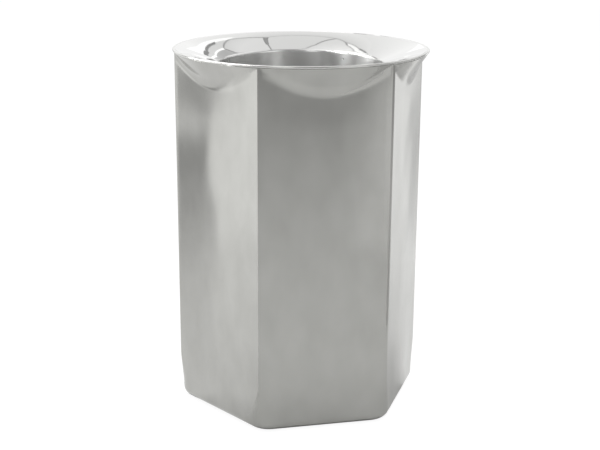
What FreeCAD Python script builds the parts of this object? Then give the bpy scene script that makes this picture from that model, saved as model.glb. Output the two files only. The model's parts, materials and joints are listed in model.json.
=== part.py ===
"""Hexagonal double-wall bottle cooler, in millimetres, +Z up.

The origin is the centre of the base pad's underside, which is what the cooler
stands on. The hexagon has a vertical edge on +X and a flat facing -Y.
"""

import FreeCAD, Part
import math
import os
import sys

import Sketcher

SHEET = "Dimensions"
SIDES = 6

# The driving dimensions: alias, value, meaning.
DIMENSIONS = (
    ("total_height", 214.0, "pad underside to the top of the rim"),
    ("rim_radius", 75.0, "outside of the polished lip"),
    ("flat_distance", 65.0, "axis to a flat of the casing"),
    ("sheet_gauge", 0.6, "thickness of the steel sheet"),
    ("edge_radius", 3.5, "outside radius of the vertical edges"),
    ("base_radius", 5.0, "outside radius between flats and underside"),
    ("base_corner", 14.0, "radius of the vertical edges where the base radius starts"),
    ("corner_fade", 25.0, "height over which base_corner eases to edge_radius"),
    ("foot_gap", 0.8, "height of the casing's underside above the surface"),
    ("flare_height", 14.3, "rise of the flare from a flat's middle to its top"),
    ("flare_top", 74.6, "outside radius of the flare's top"),
    ("lip_height", 1.3, "height of the polished lip"),
    ("lip_inner", 73.4, "inside radius of the polished lip"),
    ("well_radius", 48.5, "inside radius of the well"),
    ("well_floor", 21.0, "height of the well's floor"),
    ("floor_radius", 8.0, "radius between the well's floor and wall"),
    ("funnel_angle", 19.0, "slope of the funnel below the horizontal, degrees"),
    ("shoulder_radius", 2.0, "radius between funnel and well"),
    ("opening_radius", 46.4, "round opening in the casing's underside"),
    ("weld_width", 0.8, "gap that the base weld fills"),
    ("recess_radius", 42.5, "recess in the base plate that holds the pad"),
    ("recess_depth", 2.0, "depth of that recess"),
    ("vent_radius", 1.5, "vent hole through the base plate"),
    ("plug_head", 4.0, "radius of the vent plug's head"),
    ("plug_thickness", 0.8, "thickness of the vent plug's head"),
    ("pad_clearance", 0.4, "gap between pad and recess wall"),
    ("grip_depth", 0.5, "depth of the grip grooves under the pad"),
    ("grip_width", 2.0, "width of a grip groove"),
    ("grip_first", 14.0, "inside radius of the first grip groove"),
    ("grip_pitch", 8.0, "distance from one grip groove to the next"),
    ("spacer_outer", 34.0, "outside radius of the foam ring"),
    ("spacer_inner", 10.0, "inside radius of the foam ring"),
)
GRIP_GROOVES = 3
FILLET_STEPS = 6
FADE_STEPS = 8

# Rough sizes that sketches are drawn with, before their constraints set the real ones.
ROUGH_CENTRE = 50.0
ROUGH_RADIUS = 40.0
ROUGH_REACH = 60.0
ROUGH_CORNER = 5.0


def sheet_value(alias):
    """A spreadsheet value, written as an expression."""
    return f"{SHEET}.{alias}"


TOTAL = sheet_value("total_height")
FLAT = sheet_value("flat_distance")
GAUGE = sheet_value("sheet_gauge")
EDGE = sheet_value("edge_radius")
BASE = sheet_value("base_radius")
CORNER = sheet_value("base_corner")
FADE = sheet_value("corner_fade")
FOOT = sheet_value("foot_gap")
LIP = sheet_value("lip_height")
LIP_INNER = sheet_value("lip_inner")
RIM = sheet_value("rim_radius")
WELL = sheet_value("well_radius")
FLOOR = sheet_value("well_floor")
FUNNEL = f"({sheet_value('funnel_angle')} * 1 deg)"
OPENING = sheet_value("opening_radius")
RECESS = sheet_value("recess_radius")
DEPTH = sheet_value("recess_depth")
VENT = sheet_value("vent_radius")
PLUG_HEAD = sheet_value("plug_head")
PLUG_THICK = sheet_value("plug_thickness")
FLARE_TOP = sheet_value("flare_top")
FLARE_RISE = sheet_value("flare_height")
FLARE_SLOPE = f"(({FLARE_TOP} - {FLAT}) / {FLARE_RISE})"
PLATE_TOP = f"({FOOT} + {DEPTH} + {GAUGE})"


def make_sheet(doc):
    """The spreadsheet of driving dimensions."""
    sheet = doc.addObject("Spreadsheet::Sheet", SHEET)
    for row, (alias, value, meaning) in enumerate(DIMENSIONS, start=1):
        sheet.set(f"A{row}", alias)
        sheet.set(f"B{row}", str(value))
        sheet.setAlias(f"B{row}", alias)
        sheet.set(f"C{row}", meaning)
    doc.recompute()


def new_body(doc, name):
    """An empty body that carries the sub-part's name."""
    body = doc.addObject("PartDesign::Body", name)
    body.Label = name
    body.Placement = FreeCAD.Placement()
    return body


def new_sketch(body, name, role, height=None):
    """A sketch on one of the body's own planes, raised by height."""
    sketch = body.newObject("Sketcher::SketchObject", name)
    for feature in body.Origin.OriginFeatures:
        if feature.Role == role:
            plane = feature
    sketch.AttachmentSupport = [(plane, "")]
    sketch.MapMode = "FlatFace"
    if height is not None:
        sketch.setExpression("AttachmentOffset.Base.z", height)
    return sketch


def fix_point(sketch, geometry, point, across, up):
    """Binds one point of a sketch to two expressions; None leaves it on an axis."""
    for kind, axis, value in (("DistanceX", -2, across), ("DistanceY", -1, up)):
        if value is None:
            sketch.addConstraint(Sketcher.Constraint("PointOnObject", geometry, point, axis))
            continue
        index = sketch.addConstraint(Sketcher.Constraint(kind, geometry, point, 1.0))
        sketch.setExpression(f"Constraints[{index}]", value)


def add_arc(sketch, chord, radius, turn):
    """Replaces one straight side by an arc; turn is 1 to the left, -1 to the right."""
    line = sketch.Geometry[chord]
    start = line.StartPoint if turn > 0 else line.EndPoint
    end = line.EndPoint if turn > 0 else line.StartPoint
    span = end - start
    centre = (start + end) * 0.5 + FreeCAD.Vector(-span.y, span.x, 0.0) * 0.5
    angles = [math.atan2(point.y - centre.y, point.x - centre.x) for point in (start, end)]
    size = (start - centre).Length
    circle = Part.Circle(centre, FreeCAD.Vector(0, 0, 1), size)
    arc = sketch.addGeometry(Part.ArcOfCircle(circle, *angles), False)
    sketch.setConstruction(chord, True)
    first = 1 if turn > 0 else 2
    sketch.addConstraint(Sketcher.Constraint("Coincident", arc, first, chord, 1))
    sketch.addConstraint(Sketcher.Constraint("Coincident", arc, 3 - first, chord, 2))
    index = sketch.addConstraint(Sketcher.Constraint("Radius", arc, size))
    sketch.setExpression(f"Constraints[{index}]", radius)


def outline_sketch(body, name, corners, arcs=()):
    """A closed outline in the XZ plane through corners given as expressions.

    The sides are straight, except those in arcs: (side, radius, turn), where a
    side starts at the corner of the same number.
    """
    sketch = new_sketch(body, name, "XZ_Plane")
    count = len(corners)
    centre = FreeCAD.Vector(ROUGH_CENTRE, ROUGH_CENTRE, 0)
    ring = Part.Circle(centre, FreeCAD.Vector(0, 0, 1), ROUGH_RADIUS)
    start_points = [ring.value(math.tau * i / count) for i in range(count)]
    for i in range(count):
        side = Part.LineSegment(start_points[i], start_points[(i + 1) % count])
        sketch.addGeometry(side, False)
    for i in range(count):
        sketch.addConstraint(Sketcher.Constraint("Coincident", i, 2, (i + 1) % count, 1))
    for i, (across, up) in enumerate(corners):
        fix_point(sketch, i, 1, across, up)
    if arcs:
        body.Document.recompute()
    for side, radius, turn in arcs:
        add_arc(sketch, side, radius, turn)
    return sketch


def revolve(body, kind, name, sketch):
    """A full turn of a sketch about the body's Z axis."""
    feature = body.newObject(f"PartDesign::{kind}", name)
    feature.Profile = sketch
    feature.ReferenceAxis = (sketch, ["V_Axis"])
    feature.Angle = 360.0
    sketch.Visibility = False
    return feature


def hexagon_sketch(body, name, height, flat, corner):
    """A hexagon with rounded corners: a vertex on +X, all sizes as expressions."""
    sketch = new_sketch(body, name, "XY_Plane", height)
    half_turn = math.pi / SIDES
    middles = [math.tau * i / SIDES for i in range(SIDES)]
    circles = []
    for middle in middles:
        centre = FreeCAD.Vector(math.cos(middle), math.sin(middle), 0) * ROUGH_REACH
        circles.append(Part.Circle(centre, FreeCAD.Vector(0, 0, 1), ROUGH_CORNER))
    for circle, middle in zip(circles, middles):
        arc = Part.ArcOfCircle(circle, middle - half_turn, middle + half_turn)
        sketch.addGeometry(arc, False)
    for i in range(SIDES):
        following = (i + 1) % SIDES
        start = circles[i].value(middles[i] + half_turn)
        end = circles[following].value(middles[following] - half_turn)
        sketch.addGeometry(Part.LineSegment(start, end), False)
    for i in range(SIDES):
        line = SIDES + i
        sketch.addConstraint(Sketcher.Constraint("Tangent", i, 2, line, 1))
        sketch.addConstraint(Sketcher.Constraint("Tangent", line, 2, (i + 1) % SIDES, 1))
    for i in range(1, SIDES):
        sketch.addConstraint(Sketcher.Constraint("Equal", 0, i))
    index = sketch.addConstraint(Sketcher.Constraint("Radius", 0, ROUGH_CORNER))
    sketch.setExpression(f"Constraints[{index}]", corner)
    reach = f"(({flat}) - ({corner})) / cos({180 // SIDES} deg)"
    for i in range(SIDES):
        angle = 360 // SIDES * i
        on_axis = i % (SIDES // 2) == 0
        across = f"{reach} * cos({angle} deg)"
        up = None if on_axis else f"{reach} * sin({angle} deg)"
        fix_point(sketch, i, 3, across, up)
    sketch.Visibility = False
    return sketch


def casing_sections(inset):
    """Sections of the casing's rounded foot, as (height, flat, corner) expressions.

    inset moves the whole surface inwards: 0 for the outside, the sheet's
    thickness for the inside.
    """
    sections = []
    for step in range(FILLET_STEPS + 1):
        angle = 90.0 * step / FILLET_STEPS
        fall = f"({BASE} - {inset})"
        height = f"{FOOT} + {inset} + {fall} * (1 - cos({angle} deg))"
        flat = f"{FLAT} - {BASE} + {fall} * sin({angle} deg)"
        corner = f"{CORNER} - {BASE} + {fall} * sin({angle} deg)"
        sections.append((height, flat, corner))
    for step in range(1, FADE_STEPS + 1):
        part = step / FADE_STEPS
        eased = part * part * (3.0 - 2.0 * part)
        height = f"{FOOT} + {BASE} + {FADE} * {part}"
        corner = f"{CORNER} + ({EDGE} - {CORNER}) * {eased} - {inset}"
        sections.append((height, f"{FLAT} - {inset}", corner))
    return sections


def casing_volume(body, tag, inset, kinds):
    """Adds or removes one whole casing shape: rounded foot, hexagon and flare."""
    loft_kind, prism_kind, turn_kind = kinds
    sections = casing_sections(inset)
    sketches = []
    for i, (height, flat, corner) in enumerate(sections):
        sketches.append(hexagon_sketch(body, f"{tag}_section_{i}", height, flat, corner))
    foot = body.newObject(f"PartDesign::{loft_kind}", f"{tag}_foot")
    foot.Profile = sketches[0]
    foot.Sections = sketches[1:]
    foot.Ruled = False

    join, flat, corner = sections[-1]
    prism = body.newObject(f"PartDesign::{prism_kind}", f"{tag}_prism")
    prism.Profile = hexagon_sketch(body, f"{tag}_outline", join, flat, corner)
    prism.setExpression("Length", f"{TOTAL} - {LIP} - ({join})")
    prism.Reversed = prism_kind == "Pocket"

    # The cone starts an edge radius below the flats' line, well inside the hexagon.
    thinning = f"{inset} / cos(atan({FLARE_SLOPE}))"
    corners = [
        (None, f"{TOTAL} - {LIP} - {FLARE_RISE} - {EDGE}"),
        (f"{FLAT} - {thinning} - {FLARE_SLOPE} * {EDGE}", f"{TOTAL} - {LIP} - {FLARE_RISE} - {EDGE}"),
        (f"{FLARE_TOP} - {thinning}", f"{TOTAL} - {LIP}"),
        (None, f"{TOTAL} - {LIP}"),
    ]
    revolve(body, turn_kind, f"{tag}_flare", outline_sketch(body, f"{tag}_cone", corners))


def make_outer_shell(doc):
    """Drawn casing: hexagon with a rounded foot, flared into a round top."""
    body = new_body(doc, "outer_shell")
    casing_volume(body, "outside", "0", ("AdditiveLoft", "Pad", "Revolution"))
    doc.recompute()
    casing_volume(body, "inside", GAUGE, ("SubtractiveLoft", "Pocket", "Groove"))
    corners = [
        (None, f"{FOOT} - {GAUGE}"),
        (OPENING, f"{FOOT} - {GAUGE}"),
        (OPENING, f"{FOOT} + 2 * {GAUGE}"),
        (None, f"{FOOT} + 2 * {GAUGE}"),
    ]
    revolve(body, "Groove", "bottom_opening", outline_sketch(body, "opening_outline", corners))
    return body


def liner_layer(body, tag, kind, inset, reach):
    """Turns the well and funnel shape; inset 0 is the visible surface.

    reach carries the funnel's slope past the lip, so that a cut leaves nothing.
    """
    shoulder = sheet_value("shoulder_radius")
    corner = sheet_value("floor_radius")
    bend = f"({shoulder} - {inset})"
    run = f"({LIP_INNER} - {WELL} - {shoulder})"
    bend_height = f"({TOTAL} - {run} * tan({FUNNEL}) - {shoulder} / cos({FUNNEL}))"
    bend_end = f"{WELL} + {shoulder} - {bend} * sin({FUNNEL})"
    lip_height = f"{TOTAL} - {inset} / cos({FUNNEL}) + {reach} * tan({FUNNEL})"
    corners = [
        (None, f"{FLOOR} - {inset}"),
        (f"{WELL} - {corner}", f"{FLOOR} - {inset}"),
        (f"{WELL} + {inset}", f"{FLOOR} + {corner}"),
        (f"{WELL} + {inset}", bend_height),
        (bend_end, f"{bend_height} + {bend} * cos({FUNNEL})"),
        (f"{LIP_INNER} + {reach}", lip_height),
        (f"{LIP_INNER} + {reach}", f"{TOTAL} + {reach}"),
        (None, f"{TOTAL} + {reach}"),
    ]
    arcs = [(1, f"{corner} + {inset}", 1), (3, bend, -1)]
    revolve(body, kind, f"{tag}_turned", outline_sketch(body, f"{tag}_outline", corners, arcs))


def make_inner_liner(doc):
    """Spun liner: round well, small shoulder and conical funnel."""
    body = new_body(doc, "inner_liner")
    liner_layer(body, "back", "Revolution", GAUGE, "0")
    doc.recompute()
    liner_layer(body, "face", "Groove", "0", LIP)
    return body


def make_rim_weld(doc):
    """Polished edge weld round the rim, with a half-round nose of four arcs."""
    body = new_body(doc, "rim_weld")
    nose = f"{LIP} / 2"
    corners = [(LIP_INNER, f"{TOTAL} - {LIP}")]
    for angle in (-90, -45, 0, 45, 90):
        out = f"{RIM} - {nose} + {nose} * cos({angle} deg)"
        corners.append((out, f"{TOTAL} - {nose} + {nose} * sin({angle} deg)"))
    corners.append((LIP_INNER, TOTAL))
    arcs = [(side, nose, 1) for side in (1, 2, 3, 4)]
    revolve(body, "Revolution", "weld_turned", outline_sketch(body, "weld_outline", corners, arcs))
    return body


def make_base_plate(doc):
    """Pressed disc with a stepped rim and a vent hole in its middle."""
    body = new_body(doc, "base_plate")
    seat = f"{OPENING} - {sheet_value('weld_width')}"
    corners = [
        (VENT, f"{FOOT} + {DEPTH}"),
        (RECESS, f"{FOOT} + {DEPTH}"),
        (RECESS, FOOT),
        (seat, FOOT),
        (seat, f"{FOOT} + {GAUGE}"),
        (f"{RECESS} + {GAUGE}", f"{FOOT} + {GAUGE}"),
        (f"{RECESS} + {GAUGE}", PLATE_TOP),
        (VENT, PLATE_TOP),
    ]
    revolve(body, "Revolution", "plate_turned", outline_sketch(body, "plate_outline", corners))
    return body


def make_base_weld(doc):
    """Seam that fills the gap between the base plate and the casing."""
    body = new_body(doc, "base_weld")
    inside = f"{OPENING} - {sheet_value('weld_width')}"
    corners = [
        (inside, FOOT),
        (OPENING, FOOT),
        (OPENING, f"{FOOT} + {GAUGE}"),
        (inside, f"{FOOT} + {GAUGE}"),
    ]
    revolve(body, "Revolution", "seam_turned", outline_sketch(body, "seam_outline", corners))
    return body


def make_vent_plug(doc):
    """Headed plug that fills the vent hole from below."""
    body = new_body(doc, "vent_plug")
    under = f"{FOOT} + {DEPTH}"
    corners = [
        (None, f"{under} - {PLUG_THICK}"),
        (PLUG_HEAD, f"{under} - {PLUG_THICK}"),
        (PLUG_HEAD, under),
        (VENT, under),
        (VENT, f"{PLATE_TOP} + {PLUG_THICK}"),
        (None, f"{PLATE_TOP} + {PLUG_THICK}"),
    ]
    revolve(body, "Revolution", "plug_turned", outline_sketch(body, "plug_outline", corners))
    return body


def make_liner_spacer(doc):
    """Foam ring between the base plate and the well's floor."""
    body = new_body(doc, "liner_spacer")
    outer = sheet_value("spacer_outer")
    inner = sheet_value("spacer_inner")
    top = f"{FLOOR} - {GAUGE}"
    corners = [(inner, PLATE_TOP), (outer, PLATE_TOP), (outer, top), (inner, top)]
    revolve(body, "Revolution", "ring_turned", outline_sketch(body, "ring_outline", corners))
    return body


def make_base_pad(doc):
    """Non-slip pad: a pocket above for the plug's head, grip grooves below."""
    body = new_body(doc, "base_pad")
    clearance = sheet_value("pad_clearance")
    depth = sheet_value("grip_depth")
    top = f"{FOOT} + {DEPTH}"
    outer = f"{RECESS} - {clearance}"
    pocket = f"{PLUG_HEAD} + {clearance}"
    pocket_floor = f"{top} - {PLUG_THICK} - {clearance}"
    corners = [
        (None, None),
        (f"{outer} - {depth}", None),
        (outer, depth),
        (outer, top),
        (pocket, top),
        (pocket, pocket_floor),
        (None, pocket_floor),
    ]
    revolve(body, "Revolution", "pad_turned", outline_sketch(body, "pad_outline", corners))
    for i in range(GRIP_GROOVES):
        near = f"{sheet_value('grip_first')} + {i} * {sheet_value('grip_pitch')}"
        far = f"{near} + {sheet_value('grip_width')}"
        corners = [(near, None), (far, None), (far, depth), (near, depth)]
        sketch = outline_sketch(body, f"grip_outline_{i}", corners)
        revolve(body, "Groove", f"grip_groove_{i}", sketch)
    return body


def check_document(doc, bodies):
    """Stops with a message if any object failed or any body isn't one valid solid."""
    faults = []
    for item in doc.Objects:
        if "Invalid" in item.State or "Error" in item.State:
            faults.append(f"{item.Name}: {item.State}")
    for body in bodies:
        shape = body.Shape
        if shape.isNull() or not shape.isValid() or len(shape.Solids) != 1:
            faults.append(f"{body.Label}: not one valid solid")
    if faults:
        print("\n".join(faults))
        sys.exit(1)


def main():
    doc = FreeCAD.newDocument("bottle_cooler")
    make_sheet(doc)
    bodies = [
        make_outer_shell(doc),
        make_inner_liner(doc),
        make_rim_weld(doc),
        make_base_plate(doc),
        make_base_weld(doc),
        make_vent_plug(doc),
        make_liner_spacer(doc),
        make_base_pad(doc),
    ]
    doc.recompute()
    check_document(doc, bodies)
    os.makedirs("parts", exist_ok=True)
    for body in bodies:
        body.Shape.exportStep(os.path.join("parts", f"{body.Label}.step"))
        print(f"{body.Label}: {body.Shape.Volume / 1000.0:.2f} cm3")


main()
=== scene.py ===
"""Looks of the hexagonal double-wall bottle cooler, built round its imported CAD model.

Metres, +Z up. The hexagon has a vertical edge on +X and a flat facing -Y.
"""

import json
import math

import bpy
from mathutils import Matrix, Vector


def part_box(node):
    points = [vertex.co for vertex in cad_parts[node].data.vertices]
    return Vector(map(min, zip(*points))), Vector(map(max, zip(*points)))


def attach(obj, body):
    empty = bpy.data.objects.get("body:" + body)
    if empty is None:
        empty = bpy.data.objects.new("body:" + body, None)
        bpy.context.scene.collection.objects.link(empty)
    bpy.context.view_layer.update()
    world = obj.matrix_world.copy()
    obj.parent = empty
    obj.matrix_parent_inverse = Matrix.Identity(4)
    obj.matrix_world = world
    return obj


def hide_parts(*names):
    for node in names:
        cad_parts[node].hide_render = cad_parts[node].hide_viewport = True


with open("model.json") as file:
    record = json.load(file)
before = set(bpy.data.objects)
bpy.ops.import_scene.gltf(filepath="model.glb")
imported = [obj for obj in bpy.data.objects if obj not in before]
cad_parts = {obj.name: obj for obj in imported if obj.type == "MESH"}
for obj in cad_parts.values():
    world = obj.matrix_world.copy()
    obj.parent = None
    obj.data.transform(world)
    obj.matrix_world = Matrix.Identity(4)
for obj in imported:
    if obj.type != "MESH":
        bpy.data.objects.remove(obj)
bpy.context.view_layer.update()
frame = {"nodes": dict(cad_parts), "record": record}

MM = 0.001
SIDES = 6
SECTOR = math.tau / SIDES

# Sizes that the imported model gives.
lip_low, lip_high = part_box("rim_weld")
shell_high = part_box("outer_shell")[1]
liner_low, liner_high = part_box("inner_liner")
weld_low, weld_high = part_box("base_weld")
well_mount = next(m for m in frame["record"]["mounts"] if m["name"] == "bottle_well")

TOP = lip_high.z
RIM = lip_high.x
LIP_BOTTOM = lip_low.z
LIP_INNER = liner_high.x
FLARE_TOP = shell_high.x
SHELL_TOP = shell_high.z
FOOT = weld_low.z
OPENING = weld_high.x
WELL = well_mount["dims"]["r_mm"] * MM

# Sizes that no box gives, the same as in the CAD model.
FLAT = 65.0 * MM
GAUGE = 0.6 * MM
EDGE_RADIUS = 3.5 * MM
BASE_RADIUS = 5.0 * MM
BASE_CORNER = 14.0 * MM
CORNER_FADE = 25.0 * MM
FLARE_RISE = 14.3 * MM
FUNNEL_ANGLE = math.radians(19.0)
SHOULDER = 2.0 * MM
FLOOR_RADIUS = 8.0 * MM
WELL_FLOOR = liner_low.z + GAUGE

# Shapes of the visual model only. The onset is a share of the flare's rise, the dents' start,
# end and fade are shares of the casing's height.
FLARE_BLEND = 2.6 * MM
BLEND_ONSET = 0.35
CROWN = 0.42 * MM
LONG_WAVE = 0.10 * MM
SHORT_WAVE = 0.06 * MM
DENT_START, DENT_END, DENT_FADE = 0.12, 0.93, 0.1
FUNNEL_BOW = math.radians(5.0)
LIP_LAND = 0.2 * MM

# Mesh density: steps along each stretch, and round a turned piece.
CORNER_STEPS = 12
FLAT_STEPS = 30
UNDERSIDE_STEPS = 6
BASE_STEPS = 18
FADE_STEPS = 16
BODY_STEPS = 60
FLARE_STEPS = 48
WELL_FLOOR_STEPS = 12
FLOOR_BEND_STEPS = 14
WELL_WALL_STEPS = 40
SHOULDER_STEPS = 10
FUNNEL_STEPS = 28
NOSE_STEPS = 16
TURNED_STEPS = 384


# ---------------------------------------------------------------- mesh helpers

def smooth_step(x):
    """0 to 1 with level ends."""
    x = min(1.0, max(0.0, x))
    return x * x * (3.0 - 2.0 * x)


def spread(start, end, count):
    """count + 1 even values from start to end."""
    return [start + (end - start) * i / count for i in range(count + 1)]


def place_in_scene(name, data):
    """A new object of the scene."""
    thing = bpy.data.objects.new(name, data)
    bpy.context.scene.collection.objects.link(thing)
    return thing


def add_piece(name, points, faces, material, replaced):
    """A smooth mesh that rides on the cooler's one body and stands for a CAD node."""
    mesh = bpy.data.meshes.new(name)
    mesh.from_pydata(points, [], faces)
    mesh.validate()
    mesh.polygons.foreach_set("use_smooth", [True] * len(mesh.polygons))
    mesh.materials.append(material)
    piece = place_in_scene(name, mesh)
    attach(piece, "root")
    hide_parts(replaced)


def turned_mesh(profile):
    """Points and faces of a body of revolution from (radius, height) points.

    A radius of 0 makes a pole. A profile without poles is joined end to start.
    """
    points = []
    rows = []
    for radius, height in profile:
        if radius == 0.0:
            rows.append([len(points)] * TURNED_STEPS)
            points.append((0.0, 0.0, height))
            continue
        rows.append(list(range(len(points), len(points) + TURNED_STEPS)))
        for i in range(TURNED_STEPS):
            angle = math.tau * i / TURNED_STEPS
            points.append((radius * math.cos(angle), radius * math.sin(angle), height))
    closed = profile[0][0] > 0.0 and profile[-1][0] > 0.0
    spans = len(rows) if closed else len(rows) - 1
    faces = []
    for j in range(spans):
        here, there = rows[j], rows[(j + 1) % len(rows)]
        for i in range(TURNED_STEPS):
            k = (i + 1) % TURNED_STEPS
            faces.append(tuple(dict.fromkeys((here[i], here[k], there[k], there[i]))))
    return points, faces


def arc(centre, radius, start, end, steps):
    """Points of an arc in the radius-height plane."""
    found = []
    for angle in spread(start, end, steps):
        found.append((centre[0] + radius * math.cos(angle), centre[1] + radius * math.sin(angle)))
    return found


def line(start, end, steps):
    """Points between two points of a profile, without the ends."""
    found = []
    for t in spread(0.0, 1.0, steps)[1:-1]:
        found.append((start[0] + (end[0] - start[0]) * t, start[1] + (end[1] - start[1]) * t))
    return found


# ---------------------------------------------------------------- casing

FLARE_SLOPE = (FLARE_TOP - FLAT) / FLARE_RISE


def hexagon_ring(flat, corner):
    """(angle, radius) of a rounded hexagon's outline, even along each arc and flat."""
    reach = (flat - corner) / math.cos(SECTOR / 2)
    outline = []
    for side in range(SIDES):
        middle = SECTOR * side
        centre = Vector((reach * math.cos(middle), reach * math.sin(middle)))
        for turn in spread(-SECTOR / 2, SECTOR / 2, CORNER_STEPS):
            outline.append(centre + corner * Vector((math.cos(middle + turn), math.sin(middle + turn))))
        after = SECTOR * (side + 1)
        start = outline[-1]
        end = Vector((reach * math.cos(after), reach * math.sin(after)))
        end += corner * Vector((math.cos(after - SECTOR / 2), math.sin(after - SECTOR / 2)))
        for t in spread(0.0, 1.0, FLAT_STEPS)[1:-1]:
            outline.append(start.lerp(end, t))
    return [(math.atan2(p.y, p.x), p.length) for p in outline]


def flared(radius, height, thinning):
    """Radius of the casing where the cone of the flare softly meets the hexagon."""
    cone = FLARE_TOP - thinning - FLARE_SLOPE * (SHELL_TOP - height)
    below_top = (SHELL_TOP - height) / FLARE_RISE
    soft = FLARE_BLEND * smooth_step(below_top / BLEND_ONSET)
    gap = abs(radius - cone)
    lift = max(soft - gap, 0.0) ** 2 / (4.0 * soft) if soft > 0.0001 * MM else 0.0
    return max(radius, cone) + lift


def dent(angle, height):
    """Crown of the flats and the slight waves that pressing leaves, outwards positive."""
    share = (angle % SECTOR) / SECTOR
    inside = math.sin(math.pi * share) ** 2
    phase = 1.7 * int(angle % math.tau / SECTOR)
    up = height / (SHELL_TOP - FOOT)
    fade = smooth_step(up / DENT_START) * smooth_step((DENT_END - up) / DENT_FADE)
    wave = LONG_WAVE * math.sin(5.1 * up * math.pi + phase) * math.cos(math.tau * (share - 0.5) + phase)
    wave += SHORT_WAVE * math.sin(11.0 * up + 2.3 * phase) * math.sin(2 * math.tau * share + 0.6 * phase)
    return inside * fade * (wave + CROWN * math.sin(math.pi * up) ** 0.5)


def casing_ring(height, flat, corner, inset):
    """One ring of the casing at a height, inset from its outer face."""
    thinning = inset * math.hypot(1.0, FLARE_SLOPE)
    ring = []
    for angle, radius in hexagon_ring(flat - inset, corner - inset):
        out = flared(radius, height, thinning) + dent(angle, height - FOOT)
        ring.append((out * math.cos(angle), out * math.sin(angle), height))
    return ring


def underside_ring(share, height):
    """One ring of the flat underside, from the round opening at 0 to the hexagon at 1."""
    ring = []
    for angle, radius in hexagon_ring(FLAT - BASE_RADIUS, BASE_CORNER - BASE_RADIUS):
        out = OPENING + (radius - OPENING) * share
        ring.append((out * math.cos(angle), out * math.sin(angle), height))
    return ring


def casing_face(inset):
    """Rings of one face of the casing's sheet, from the bottom opening to the top."""
    rings = [underside_ring(t, FOOT + inset) for t in spread(0.0, 1.0, UNDERSIDE_STEPS)[:-1]]
    bend = BASE_RADIUS - inset
    for turn in spread(0.0, math.pi / 2, BASE_STEPS):
        widening = bend * math.sin(turn) + inset - BASE_RADIUS
        height = FOOT + inset + bend * (1.0 - math.cos(turn))
        rings.append(casing_ring(height, FLAT + widening, BASE_CORNER + widening, inset))
    fade_low = FOOT + BASE_RADIUS
    for t in spread(0.0, 1.0, FADE_STEPS)[1:]:
        corner = BASE_CORNER + (EDGE_RADIUS - BASE_CORNER) * smooth_step(t)
        rings.append(casing_ring(fade_low + CORNER_FADE * t, FLAT, corner, inset))
    flare_low = SHELL_TOP - FLARE_RISE - 2.0 * FLARE_BLEND / FLARE_SLOPE
    heights = spread(fade_low + CORNER_FADE, flare_low, BODY_STEPS)[1:]
    heights += spread(flare_low, SHELL_TOP, FLARE_STEPS)[1:]
    return rings + [casing_ring(height, FLAT, EDGE_RADIUS, inset) for height in heights]


def make_casing(material):
    """The drawn sheet: outer face, top edge, inner face, bottom edge."""
    rings = casing_face(0.0) + casing_face(GAUGE)[::-1]
    points = [point for ring in rings for point in ring]
    count = len(rings[0])
    faces = []
    for j in range(len(rings)):
        here = j * count
        there = (j + 1) % len(rings) * count
        for i in range(count):
            k = (i + 1) % count
            faces.append((here + i, here + k, there + k, there + i))
    add_piece("casing", points, faces, material, "outer_shell")


# ---------------------------------------------------------------- liner and rim

def liner_face(inset):
    """Profile of one face of the liner, from the well's axis up to the lip.

    Between the same ends as the CAD model's cone the funnel is slightly bowed, steeper at
    the well and flatter at the lip, which puts its middle half a millimetre higher.
    """
    steep = math.pi / 2 + FUNNEL_ANGLE + FUNNEL_BOW
    level = math.pi / 2 + FUNNEL_ANGLE - FUNNEL_BOW
    bow = (LIP_INNER - WELL - SHOULDER * (1.0 + math.cos(steep))) / (math.cos(level) - math.cos(steep))
    centre = (LIP_INNER - bow * math.cos(level), TOP - bow * math.sin(level))
    bend_height = centre[1] + (bow - SHOULDER) * math.sin(steep)
    floor = WELL_FLOOR - inset
    corner = (WELL - FLOOR_RADIUS, WELL_FLOOR + FLOOR_RADIUS)
    profile = [(0.0, floor)] + line((0.0, floor), (corner[0], floor), WELL_FLOOR_STEPS)
    profile += arc(corner, FLOOR_RADIUS + inset, -math.pi / 2, 0.0, FLOOR_BEND_STEPS)
    profile += line((WELL + inset, corner[1]), (WELL + inset, bend_height), WELL_WALL_STEPS)
    profile += arc((WELL + SHOULDER, bend_height), SHOULDER - inset, math.pi, steep, SHOULDER_STEPS)
    return profile + arc(centre, bow - inset, steep, level, FUNNEL_STEPS)[1:]


def make_liner(material):
    """The spun well and funnel, a closed skin of one sheet."""
    points, faces = turned_mesh(liner_face(0.0) + liner_face(GAUGE)[::-1])
    add_piece("well_and_funnel", points, faces, material, "inner_liner")


def make_rim(material):
    """The weld ground to a rounded, polished lip."""
    nose = (TOP - LIP_BOTTOM) / 2
    profile = [(LIP_INNER, LIP_BOTTOM), (LIP_INNER + LIP_LAND, LIP_BOTTOM)]
    profile += arc((RIM - nose, TOP - nose), nose, -math.pi / 2, math.pi / 2, NOSE_STEPS)
    profile += [(LIP_INNER + LIP_LAND, TOP), (LIP_INNER, TOP)]
    points, faces = turned_mesh(profile)
    add_piece("polished_lip", points, faces, material, "rim_weld")


# ---------------------------------------------------------------- materials

# The liner's finish changes over a short height, from a little below the place where the
# CAD model's cone would meet the well. Its colour changes there too: painted light makes the well lighter.
FINISH_DEPTH = 1.0 * MM
FINISH_BLEND = 1.5 * MM
FINISH_LINE = TOP - (LIP_INNER - WELL) * math.tan(FUNNEL_ANGLE) - FINISH_DEPTH
WELL_ROUGHNESS = 0.29
FUNNEL_ROUGHNESS = 0.03
EVEN = (1.0, 1.0, 1.0)


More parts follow.
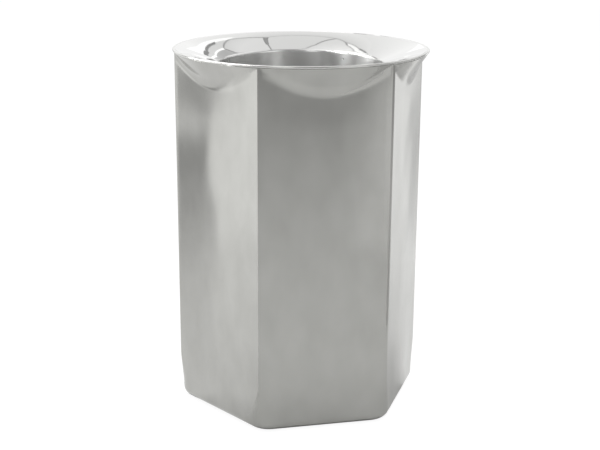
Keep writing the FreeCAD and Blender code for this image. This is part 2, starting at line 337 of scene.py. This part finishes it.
class Nodes:
    """Short calls for a material's node tree."""

    def __init__(self, name):
        self.material = bpy.data.materials.new(name)
        self.material.use_nodes = True
        self.tree = self.material.node_tree
        self.shader = self.tree.nodes["Principled BSDF"]

    def add(self, kind, **values):
        """A node; each value is set on its property or its input, with _ for a space."""
        node = self.tree.nodes.new(kind)
        for key, value in values.items():
            if hasattr(node, key):
                setattr(node, key, value)
            else:
                node.inputs[key.replace("_", " ")].default_value = value
        return node

    def link(self, start, end):
        self.tree.links.new(start, end)

    def fix(self, socket, value):
        """A constant on the shader."""
        self.shader.inputs[socket].default_value = value

    def drive(self, socket, value):
        """A node's output on the shader."""
        self.link(value, self.shader.inputs[socket])

    def noise(self, scale, detail, stretch=EVEN):
        """Noise over the object's own coordinates, scale per metre."""
        place = self.add("ShaderNodeTexCoord")
        mapping = self.add("ShaderNodeMapping", Scale=stretch)
        noise = self.add("ShaderNodeTexNoise", Scale=scale, Detail=detail)
        self.link(place.outputs["Object"], mapping.inputs["Vector"])
        self.link(mapping.outputs["Vector"], noise.inputs["Vector"])
        return noise.outputs["Fac"]

    def height_share(self, low, high):
        """0 below the height low, 1 above high."""
        place = self.add("ShaderNodeTexCoord")
        split = self.add("ShaderNodeSeparateXYZ")
        share = self.add("ShaderNodeMapRange", From_Min=low, From_Max=high)
        self.link(place.outputs["Object"], split.inputs["Vector"])
        self.link(split.outputs["Z"], share.inputs["Value"])
        return share.outputs["Result"]

    def ranged(self, value, low, high):
        """Maps 0..1 to low..high."""
        mapped = self.add("ShaderNodeMapRange", To_Min=low, To_Max=high)
        self.link(value, mapped.inputs["Value"])
        return mapped.outputs["Result"]

    def ramp(self, value, first, second):
        """A colour between two fixed colours."""
        ramp = self.add("ShaderNodeValToRGB")
        ramp.color_ramp.elements[0].color = (*first, 1.0)
        ramp.color_ramp.elements[1].color = (*second, 1.0)
        self.link(value, ramp.inputs["Fac"])
        return ramp.outputs["Color"]

    def blended(self, value, first, second):
        """A colour between two nodes' colours."""
        blend = self.add("ShaderNodeMix", data_type="RGBA")
        self.link(value, blend.inputs["Factor"])
        self.link(first, blend.inputs["A"])
        self.link(second, blend.inputs["B"])
        return blend.outputs["Result"]

    def product(self, first, second):
        product = self.add("ShaderNodeMath", operation="MULTIPLY")
        self.link(first, product.inputs[0])
        self.link(second, product.inputs[1])
        return product.outputs["Value"]

    def bump(self, value, strength, distance):
        node = self.add("ShaderNodeBump", Strength=strength, Distance=distance)
        self.link(value, node.inputs["Height"])
        self.drive("Normal", node.outputs["Normal"])


def spun_steel(name):
    """One sheet with two finishes: a mirror funnel above, a brushed well below. The well's colour is
    lighter, as painted light.
    """
    nodes = Nodes(name)
    nodes.fix("Metallic", 1.0)
    nodes.fix("Anisotropic", 0.95)
    nodes.fix("Anisotropic Rotation", 0.25)
    around = nodes.add("ShaderNodeTangent", direction_type="RADIAL", axis="Z")
    nodes.drive("Tangent", around.outputs["Tangent"])
    height = nodes.height_share(FINISH_LINE, FINISH_LINE + FINISH_BLEND)
    cloud = nodes.noise(scale=20.0, detail=4.0)
    # The well's lighter colour is painted light, which brightens the deep well.
    below = nodes.ramp(cloud, (0.72, 0.72, 0.71), (0.78, 0.78, 0.77))
    above = nodes.ramp(cloud, (0.66, 0.66, 0.65), (0.72, 0.72, 0.71))
    nodes.drive("Base Color", nodes.blended(height, below, above))
    finish = nodes.ranged(height, WELL_ROUGHNESS, FUNNEL_ROUGHNESS)
    smear = nodes.ranged(nodes.noise(scale=45.0, detail=4.0), low=0.8, high=1.2)
    nodes.drive("Roughness", nodes.product(finish, smear))
    spinning_marks = nodes.noise(scale=900.0, detail=2.0, stretch=(0.02, 0.02, 1.0))
    nodes.bump(spinning_marks, strength=0.02, distance=0.01 * MM)
    return nodes.material


def steel(name, colours, roughness, grain, cloud_scale=18.0, stretch=EVEN):
    """Stainless steel with cloudy colour and roughness, each from low to high, and a fine grain."""
    nodes = Nodes(name)
    nodes.fix("Metallic", 1.0)
    cloud = nodes.noise(scale=cloud_scale, detail=4.0, stretch=stretch)
    nodes.drive("Base Color", nodes.ramp(cloud, *colours))
    smear = nodes.noise(scale=60.0, detail=5.0, stretch=stretch)
    nodes.drive("Roughness", nodes.ranged(smear, *roughness))
    fine = nodes.noise(scale=2600.0, detail=2.0, stretch=stretch)
    nodes.bump(fine, strength=grain, distance=0.02 * MM)
    return nodes.material


def soft_rubber(name, shade):
    """Matt rubber with a fine moulded grain."""
    nodes = Nodes(name)
    cloud = nodes.noise(scale=90.0, detail=3.0)
    nodes.drive("Base Color", nodes.ramp(cloud, shade, tuple(1.5 * c for c in shade)))
    nodes.drive("Roughness", nodes.ranged(cloud, low=0.6, high=0.8))
    grain = nodes.noise(scale=3000.0, detail=3.0)
    nodes.bump(grain, strength=0.5, distance=0.1 * MM)
    return nodes.material


def closed_foam(name):
    """Pale closed-cell foam."""
    nodes = Nodes(name)
    cells = nodes.add("ShaderNodeTexVoronoi", Scale=900.0)
    place = nodes.add("ShaderNodeTexCoord")
    nodes.link(place.outputs["Object"], cells.inputs["Vector"])
    walls = cells.outputs["Distance"]
    nodes.drive("Base Color", nodes.ramp(walls, (0.72, 0.72, 0.70), (0.9, 0.9, 0.88)))
    nodes.fix("Roughness", 0.85)
    nodes.bump(walls, strength=0.6, distance=0.4 * MM)
    return nodes.material


def dress(node, material):
    """Gives a CAD node its finish."""
    piece = frame["nodes"][node]
    piece.data.materials.clear()
    piece.data.materials.append(material)


# ---------------------------------------------------------------- camera, floor, world, lamp

# The camera that was fitted to the photo.
CAMERA_AZIMUTH = math.radians(-12.64)
CAMERA_DISTANCE = 9.484 * RIM
CAMERA_HEIGHT = 4.172 * RIM
CAMERA_PITCH = math.radians(16.26)
CAMERA_ROLL = math.radians(0.35)
CAMERA_LENS = 72.81

FLOOR_REACH = 6.0
FLOOR_GLOW = 1.17
FLOOR_GLOW_SHARE = 0.8
WORLD_SEEN = 1.3
WORLD_REFLECTED = 0.58

LAMP_PLACE = (0.0, -0.1, 0.95)
LAMP_SIZE = 0.7
LAMP_POWER = 5.4


def make_floor():
    """A plain pale floor, near white to the camera and softer in reflections."""
    reach = FLOOR_REACH
    mesh = bpy.data.meshes.new("floor")
    corners = [(-reach, -reach, 0.0), (reach, -reach, 0.0), (reach, reach, 0.0), (-reach, reach, 0.0)]
    mesh.from_pydata(corners, [], [(0, 1, 2, 3)])
    nodes = Nodes("floor")
    nodes.fix("Base Color", (0.9, 0.9, 0.9, 1.0))
    nodes.fix("Roughness", 0.9)
    nodes.fix("Specular IOR Level", 0.0)
    glow = nodes.add("ShaderNodeEmission", Strength=FLOOR_GLOW)
    path = nodes.add("ShaderNodeLightPath")
    share = nodes.ranged(path.outputs["Is Camera Ray"], low=0.0, high=FLOOR_GLOW_SHARE)
    both = nodes.add("ShaderNodeMixShader")
    nodes.link(share, both.inputs["Fac"])
    nodes.link(nodes.shader.outputs["BSDF"], both.inputs[1])
    nodes.link(glow.outputs["Emission"], both.inputs[2])
    nodes.link(both.outputs["Shader"], nodes.tree.nodes["Material Output"].inputs["Surface"])
    mesh.materials.append(nodes.material)
    place_in_scene("floor", mesh)


def make_camera():
    """A long lens looking down at the cooler."""
    data = bpy.data.cameras.new("camera")
    data.lens = CAMERA_LENS
    data.clip_start = 0.01
    camera = place_in_scene("camera", data)
    side = Vector((math.sin(CAMERA_AZIMUTH), -math.cos(CAMERA_AZIMUTH), 0.0))
    place = side * CAMERA_DISTANCE + Vector((0.0, 0.0, CAMERA_HEIGHT))
    turn = Matrix.Rotation(CAMERA_AZIMUTH, 4, "Z")
    tilt = Matrix.Rotation(math.pi / 2 - CAMERA_PITCH, 4, "X")
    roll = Matrix.Rotation(CAMERA_ROLL, 4, "Z")
    camera.matrix_world = Matrix.Translation(place) @ turn @ tilt @ roll
    bpy.context.scene.camera = camera


def make_world():
    """White to the camera, a softer grey in reflections."""
    world = bpy.data.worlds.new("studio")
    bpy.context.scene.world = world
    world.use_nodes = True
    tree = world.node_tree
    tree.nodes.clear()
    seen = tree.nodes.new("ShaderNodeBackground")
    seen.inputs["Strength"].default_value = WORLD_SEEN
    reflected = tree.nodes.new("ShaderNodeBackground")
    reflected.inputs["Strength"].default_value = WORLD_REFLECTED
    path = tree.nodes.new("ShaderNodeLightPath")
    mix = tree.nodes.new("ShaderNodeMixShader")
    output = tree.nodes.new("ShaderNodeOutputWorld")
    tree.links.new(path.outputs["Is Camera Ray"], mix.inputs["Fac"])
    tree.links.new(reflected.outputs["Background"], mix.inputs[1])
    tree.links.new(seen.outputs["Background"], mix.inputs[2])
    tree.links.new(mix.outputs["Shader"], output.inputs["Surface"])


def make_lamp():
    """A soft square light from above, which the steel doesn't reflect."""
    data = bpy.data.lights.new("top_light", "AREA")
    data.shape = "SQUARE"
    data.size = LAMP_SIZE
    data.energy = LAMP_POWER
    lamp = place_in_scene("top_light", data)
    lamp.location = LAMP_PLACE
    lamp.rotation_euler = (-lamp.location).to_track_quat("-Z", "Y").to_euler()
    lamp.visible_glossy = False


# ---------------------------------------------------------------- sheets of reflected light

def glow_material():
    """Light whose strength and cover are stored on the sheet's corners."""
    material = bpy.data.materials.new("glow")
    material.use_nodes = True
    tree = material.node_tree
    tree.nodes.clear()
    level = tree.nodes.new("ShaderNodeAttribute")
    level.attribute_name = "level"
    cover = tree.nodes.new("ShaderNodeAttribute")
    cover.attribute_name = "cover"
    glow = tree.nodes.new("ShaderNodeEmission")
    clear = tree.nodes.new("ShaderNodeBsdfTransparent")
    mix = tree.nodes.new("ShaderNodeMixShader")
    output = tree.nodes.new("ShaderNodeOutputMaterial")
    tree.links.new(level.outputs["Fac"], glow.inputs["Strength"])
    tree.links.new(cover.outputs["Fac"], mix.inputs["Fac"])
    tree.links.new(clear.outputs["BSDF"], mix.inputs[1])
    tree.links.new(glow.outputs["Emission"], mix.inputs[2])
    tree.links.new(mix.outputs["Shader"], output.inputs["Surface"])
    return material


def glow_sheet(name, rows):
    """A sheet of light that is seen only in the steel; a row holds (point, radiance, cover)."""
    count = len(rows[0])
    corners = [corner for row in rows for corner in row]
    faces = []
    for j in range(len(rows) - 1):
        for i in range(count - 1):
            k = j * count + i
            faces.append((k, k + 1, k + count + 1, k + count))
    mesh = bpy.data.meshes.new(name)
    mesh.from_pydata([point for point, level, cover in corners], [], faces)
    for attribute, place in (("level", 1), ("cover", 2)):
        values = [corner[place] for corner in corners]
        mesh.attributes.new(attribute, "FLOAT", "POINT").data.foreach_set("value", values)
    mesh.materials.append(bpy.data.materials.get("glow") or glow_material())
    sheet = place_in_scene(name, mesh)
    sheet.visible_camera = False
    sheet.visible_diffuse = False
    sheet.visible_shadow = False


def card(name, facing, start, end, fades, rows, spreads=(0.0, 0.0)):
    """A soft card of light.

    From the cooler it lies in the direction facing, between two sideways offsets, and fades
    out over its two ends. Each row gives (distance, height, radiance), so it can lie and stand,
    and may add how far that row's start is moved. spreads move the two ends sideways with
    distance, which makes a wedge.
    """
    angle = math.radians(facing)
    forward = Vector((math.cos(angle), math.sin(angle), 0.0))
    across = Vector((math.sin(angle), -math.cos(angle), 0.0))
    sheet = []
    for distance, height, radiance, *moved in rows:
        left = start + spreads[0] * distance + sum(moved)
        right = end + spreads[1] * distance
        columns = [(left, 0.0), (left + fades[0], 1.0), (right - fades[1], 1.0), (right, 0.0)]
        middle = forward * distance + Vector((0.0, 0.0, height))
        sheet.append([(middle + across * offset, radiance, cover) for offset, cover in columns])
    glow_sheet(name, sheet)


def panel(name, first_pair, second_pair, levels):
    """A panel of the roof between two pairs of floor plan points, with a radiance at each."""
    rows = []
    for pair, level in zip((first_pair, second_pair), levels):
        rows.append([(Vector((*point, ROOF)), level, 1.0) for point in pair])
    glow_sheet(name, rows)


def seam(name, start, end, width, radiance):
    """A thin dark seam or bright line under the roof, between two points of the floor plan."""
    along = Vector((*end, 0.0)) - Vector((*start, 0.0))
    across = Vector((along.y, -along.x, 0.0)).normalized() * width / 2
    rows = []
    for point in (start, end):
        middle = Vector((*point, ROOF - SEAM_DROP))
        rows.append([(middle - across, radiance, 1.0), (middle + across, radiance, 1.0)])
    glow_sheet(name, rows)


# ---------------------------------------------------------------- roof

# Height of the roof, and how far its seams and the tent's fan hang under it.
ROOF = 1.0
SEAM_DROP = 0.002
TENT_DROP = 0.004
TENT_NEAR, TENT_FAR = 0.35, 2.4

# The tent in front and beside, which the well reflects: direction in degrees, radiance.
TENT_LEVELS = (
    (131.0, 1.0),
    (137.0, 9.0),
    (155.0, 9.0),
    (160.0, 0.3),
    (186.0, 0.3),
    (188.0, 15.0),
    (190.5, 15.0),
    (193.0, 0.35),
    (224.0, 0.35),
    (231.0, 1.1),
    (243.0, 1.1),
    (251.0, 0.38),
    (291.0, 0.35),
    (297.0, 1.15),
    (316.0, 1.15),
    (323.0, 0.5),
    (341.0, 0.5),
    (350.0, 0.9),
    (370.0, 0.9),
    (380.0, 1.2),
    (404.0, 1.1),
)

# Y of the roof's lines from near to far, and X of its lines at the right and the left. The
# funnel mirrors the roof, so what it shows at its left lies at greater X.
NEAR, HATCH, KNEE, BEND, HIP_LINE, TURN_LINE, END_LINE = -0.15, 0.42, 0.69, 0.945, 1.217, 2.36, 4.037
RIGHT, HATCH_RIGHT, LEFT = 0.02, 0.03, 0.46

# Points of the roof's floor plan where its panels and seams meet.
HATCH_POINT, HATCH_CORNER, HATCH_LEFT = (0.113, HATCH), (0.262, HATCH), (LEFT, HATCH)
KNEE_POINT, KNEE_CORNER = (0.112, KNEE), (0.262, KNEE)
PEAK, CORNER, CORNER_LEFT = (0.158, BEND), (0.262, BEND), (LEFT, BEND)
FORK, ELBOW, WRIST, HAND = (0.112, 0.912), (0.075, 0.872), (RIGHT, 0.904), (-0.35, 1.0)
ARM, ARM_END, ARM_TIP = (0.045, 0.99), (RIGHT, 1.17), (-0.8, 1.235)
HAND_TIP = (-0.8, 1.1)
BACK, BACK_END = (0.285, 1.03), (0.34, HIP_LINE)
HIP, BRACE = (0.354, HIP_LINE), (0.48, 1.3)
TURN, RIDGE = (0.70, TURN_LINE), (0.79, TURN_LINE)
DEEP, END = (1.077, END_LINE), (1.15, END_LINE)
SIDE, SIDE_TURN, SIDE_END = (1.4, 1.3), (2.6, TURN_LINE), (4.0, END_LINE)


def make_panels():
    """The roof's panels: two pairs of points, and the radiance at each pair."""
    far_right = HAND[0]
    panel("roof_hatch", ((HATCH_RIGHT, NEAR), (LEFT, NEAR)), ((HATCH_RIGHT, HATCH), HATCH_LEFT), (0.5, 0.5))
    panel("roof_middle", (HATCH_POINT, HATCH_CORNER), (KNEE_POINT, KNEE_CORNER), (0.96, 0.96))
    panel("roof_middle_far", (KNEE_POINT, KNEE_CORNER), (PEAK, CORNER), (0.96, 0.96))
    panel("roof_peak", (KNEE_POINT, FORK), (KNEE_POINT, PEAK), (1.0, 1.0))
    panel("roof_right", (HATCH_POINT, KNEE_POINT), ((RIGHT, HATCH), (RIGHT, KNEE)), (1.0, 1.2))
    panel("roof_fork", (KNEE_POINT, FORK), ((ELBOW[0], KNEE), ELBOW), (1.0, 1.06))
    panel("roof_elbow", ((ELBOW[0], KNEE), ELBOW), ((RIGHT, KNEE), WRIST), (1.06, 1.2))
    panel("roof_far_right", ((RIGHT, HATCH), WRIST), ((far_right, HATCH), HAND), (1.2, 1.7))
    near_right = ((HATCH_RIGHT, NEAR), (RIGHT, HATCH))
    panel("roof_near_right", near_right, ((far_right, NEAR), (far_right, HATCH)), (1.1, 1.5))
    panel("roof_gap", (ELBOW, FORK), (WRIST, ARM), (1.3, 1.4))
    panel("roof_gap_end", (WRIST, ARM), (HAND, ARM_END), (1.4, 1.4))
    panel("roof_gap_tip", (HAND, ARM_END), (HAND_TIP, ARM_TIP), (1.4, 1.4))
    panel("roof_left", (HATCH_CORNER, HATCH_LEFT), (CORNER, CORNER_LEFT), (1.0, 1.0))
    panel("roof_corner", (CORNER, CORNER_LEFT), (HIP, BRACE), (1.0, 0.86))
    panel("roof_side", ((LEFT, NEAR), (1.2, NEAR)), (BRACE, SIDE), (0.66, 0.62))
    panel("roof_deep", (HIP, BRACE), (TURN, RIDGE), (0.9, 0.9))
    panel("roof_deep_side", (BRACE, SIDE), (RIDGE, SIDE_TURN), (0.6, 0.68))
    panel("roof_end", (TURN, RIDGE), (DEEP, END), (0.9, 0.9))
    panel("roof_end_side", (RIDGE, SIDE_TURN), (END, SIDE_END), (0.68, 0.8))
    panel("roof_glow", ((0.33, HIP_LINE), HIP), ((0.60, TURN_LINE), TURN), (1.4, 1.4))
    panel("roof_end_glow", ((0.60, TURN_LINE), TURN), ((0.85, END_LINE), DEEP), (1.4, 1.4))
    panel("roof_back", (FORK, CORNER), (ARM, BACK), (0.92, 0.99))
    panel("roof_back_end", (ARM, BACK), (ARM_END, BACK_END), (0.99, 1.09))


def make_seams():
    """The roof's seams: start, end, width, radiance."""
    seam("long_seam", (0.25, HATCH), (0.26, BEND), 0.006, 0.45)
    seam("long_seam_end", (0.257, 0.75), (0.26, BEND), 0.012, 0.4)
    seam("short_seam", HATCH_POINT, KNEE_POINT, 0.006, 0.5)
    seam("short_seam_end", KNEE_POINT, PEAK, 0.006, 0.5)
    seam("back_seam", FORK, PEAK, 0.014, 0.6)
    seam("far_seam", PEAK, CORNER, 0.016, 0.66)
    seam("outer_arm", FORK, ARM, 0.014, 0.5)
    seam("outer_arm_middle", ARM, ARM_END, 0.02, 0.4)
    seam("outer_arm_end", ARM_END, ARM_TIP, 0.03, 0.4)
    seam("inner_arm", FORK, ELBOW, 0.012, 0.5)
    seam("inner_arm_middle", ELBOW, WRIST, 0.014, 0.5)
    seam("inner_arm_end", WRIST, HAND, 0.02, 0.5)
    seam("corner_seam", CORNER, HIP, 0.007, 0.5)
    seam("hip_seam", HIP, BRACE, 0.024, 0.4)
    seam("side_seam", (LEFT, NEAR), BRACE, 0.012, 0.4)
    seam("left_seam", (0.43, 1.45), TURN, 0.03, 0.35)
    seam("end_seam", TURN, DEEP, 0.05, 0.35)
    seam("ridge_line", BRACE, RIDGE, 0.02, 1.5)
    seam("end_line", RIDGE, END, 0.03, 1.5)


def make_tent():
    """A fan of light and dark under the roof, in front of the cooler and beside it."""
    rows = []
    for reach in (TENT_NEAR, TENT_FAR):
        row = []
        for facing, level in TENT_LEVELS:
            angle = math.radians(facing)
            place = Vector((reach * math.cos(angle), reach * math.sin(angle), ROOF - TENT_DROP))
            row.append((place, level, 1.0))
        rows.append(row)
    glow_sheet("tent_fan", rows)


# ---------------------------------------------------------------- cards

# Directions in which the cards lie, in degrees, and heights of their lying parts.
LEFT_WAY, RIGHT_WAY, BACK_WAY, FRONT_WAY, EDGE_WAY = 158.9, 47.4, 80.0, -77.4, -12.0
LYING, ABOVE = 0.002, 0.003
# Distances at which the cards stand.
FOLD, OUTER_FOLD, STRIP_FOLD, FAR_FOLD, WALL = 0.42, 0.43, 0.415, 0.44, 6.0

# Rows of the cards: distance, height, radiance, and for one card how far its start is moved.
# Its radiance falls next to the cooler: a painted contact shadow under the casing's edge.
LEFT_ROWS = (
    (0.0, LYING, 0.5),
    (0.03, LYING, 0.78),
    (0.065, LYING, 0.98),
    (0.10, LYING, 1.0),
    (0.16, LYING, 1.1),
    (0.35, LYING, 1.2),
    (OUTER_FOLD, LYING, 1.3),
    (OUTER_FOLD, 0.03, 1.36),
    (OUTER_FOLD, 0.3, 1.4),
)
# Its radiance falls next to the cooler: a painted contact shadow beside the foot.
LEFT_STAND_ROWS = (
    (0.0, ABOVE, 0.6, 0.0),
    (0.05, ABOVE, 0.8, 0.0),
    (0.065, ABOVE, 1.0, 0.0),
    (0.14, ABOVE, 1.0, 0.0),
    (0.27, ABOVE, 0.94, 0.004),
    (0.345, ABOVE, 0.82, 0.009),
    (FOLD, ABOVE, 0.61, 0.021),
    (FOLD, 0.03, 0.465, 0.02),
    (FOLD, 0.05, 0.42, 0.015),
    (FOLD, 0.067, 0.36, 0.012),
    (FOLD, 0.082, 0.44, 0.006),
    (FOLD, 0.097, 0.74, 0.003),
    (FOLD, 0.11, 0.84, 0.002),
    (FOLD, 0.12, 0.62, 0.0),
    (FOLD, 0.128, 0.48, 0.0),
    (FOLD, 0.15, 0.48, 0.0),
)
LEFT_STRIP_ROWS = (
    (STRIP_FOLD, 0.09, 0.9),
    (STRIP_FOLD, 0.1, 1.3),
    (STRIP_FOLD, 0.15, 1.3),
)
FAR_LEFT_ROWS = (
    (0.03, LYING, 1.0),
    (0.1, LYING, 0.98),
    (FAR_FOLD, LYING, 1.0),
    (FAR_FOLD, 0.3, 1.05),
)
RIGHT_ROWS = (
    (0.03, LYING, 0.98),
    (0.1, LYING, 0.98),
    (0.2, LYING, 1.0),
    (0.3, LYING, 1.08),
    (OUTER_FOLD, LYING, 1.15),
    (OUTER_FOLD, 0.07, 1.24),
    (OUTER_FOLD, 0.3, 1.26),
)
EDGE_ROWS = (
    (0.2, LYING, 0.62),
    (FOLD, LYING, 0.62),
)
RIGHT_STAND_ROWS = (
    (0.3, ABOVE, 1.05),
    (FOLD, ABOVE, 0.85),
    (FOLD, 0.05, 0.72),
    (FOLD, 0.08, 0.6),
    (FOLD, 0.11, 0.66),
    (FOLD, 0.15, 0.68),
)
FRONT_ROWS = (
    (0.39, LYING, 0.9),
    (FOLD, LYING, 0.94),
    (FOLD, 0.15, 0.94),
)
BACK_ROWS = (
    (WALL, 0.0, 1.02),
    (WALL, 1.0, 1.08),
    (WALL, 1.9, 1.18),
    (WALL, 2.6, 1.14),
    (WALL, 4.2, 1.06),
    (WALL, 9.8, 1.06),
)


def make_cards():
    """The cards round the cooler: direction, start, end, fades, rows."""
    card("left_card", LEFT_WAY, -0.07, -0.034, (0.02, 0.003), LEFT_ROWS, (-0.49, 0.0))
    card("left_stand", LEFT_WAY, -0.055, 0.002, (0.010, 0.012), LEFT_STAND_ROWS)
    card("left_strip", LEFT_WAY, -0.0125, 0.05, (0.002, 0.01), LEFT_STRIP_ROWS)
    card("far_left_card", LEFT_WAY, -0.03, 0.6, (0.01, 0.1), FAR_LEFT_ROWS)
    card("right_card", RIGHT_WAY, 0.03, 0.062, (0.01, 0.008), RIGHT_ROWS, (0.0, 0.11))
    card("corner_shade", EDGE_WAY, -0.16, 0.16, (0.06, 0.06), EDGE_ROWS)
    card("right_stand", RIGHT_WAY, -0.08, 0.058, (0.01, 0.007), RIGHT_STAND_ROWS)
    card("front_card", FRONT_WAY, -0.5, -0.03, (0.15, 0.012), FRONT_ROWS)
    card("back_card", BACK_WAY, -4.6, 4.6, (0.3, 0.3), BACK_ROWS)


# ---------------------------------------------------------------- build

SATIN_COLOURS = ((0.39, 0.39, 0.37), (0.49, 0.49, 0.47))
POLISHED_COLOURS = ((0.62, 0.62, 0.60), (0.68, 0.68, 0.66))
PRESSED_COLOURS = ((0.40, 0.40, 0.39), (0.48, 0.48, 0.47))
RUBBER_COLOUR = (0.02, 0.02, 0.021)
TALL_CLOUDS = (1.0, 1.0, 0.6)

satin = steel("satin_steel", SATIN_COLOURS, (0.11, 0.16), 0.15, 75.0, TALL_CLOUDS)
spun = spun_steel("spun_steel")
polished = steel("polished_weld", POLISHED_COLOURS, (0.08, 0.16), 0.3)
pressed = steel("pressed_steel", PRESSED_COLOURS, (0.25, 0.4), 0.4)
rubber = soft_rubber("pad_rubber", RUBBER_COLOUR)
foam = closed_foam("closed_foam")

make_casing(satin)
make_liner(spun)
make_rim(polished)
dress("base_plate", pressed)
dress("base_weld", pressed)
dress("vent_plug", rubber)
dress("base_pad", rubber)
dress("liner_spacer", foam)

make_floor()
make_camera()
make_world()
make_panels()
make_seams()
make_tent()
make_lamp()
make_cards()
bpy.context.scene.view_settings.view_transform = "Standard"
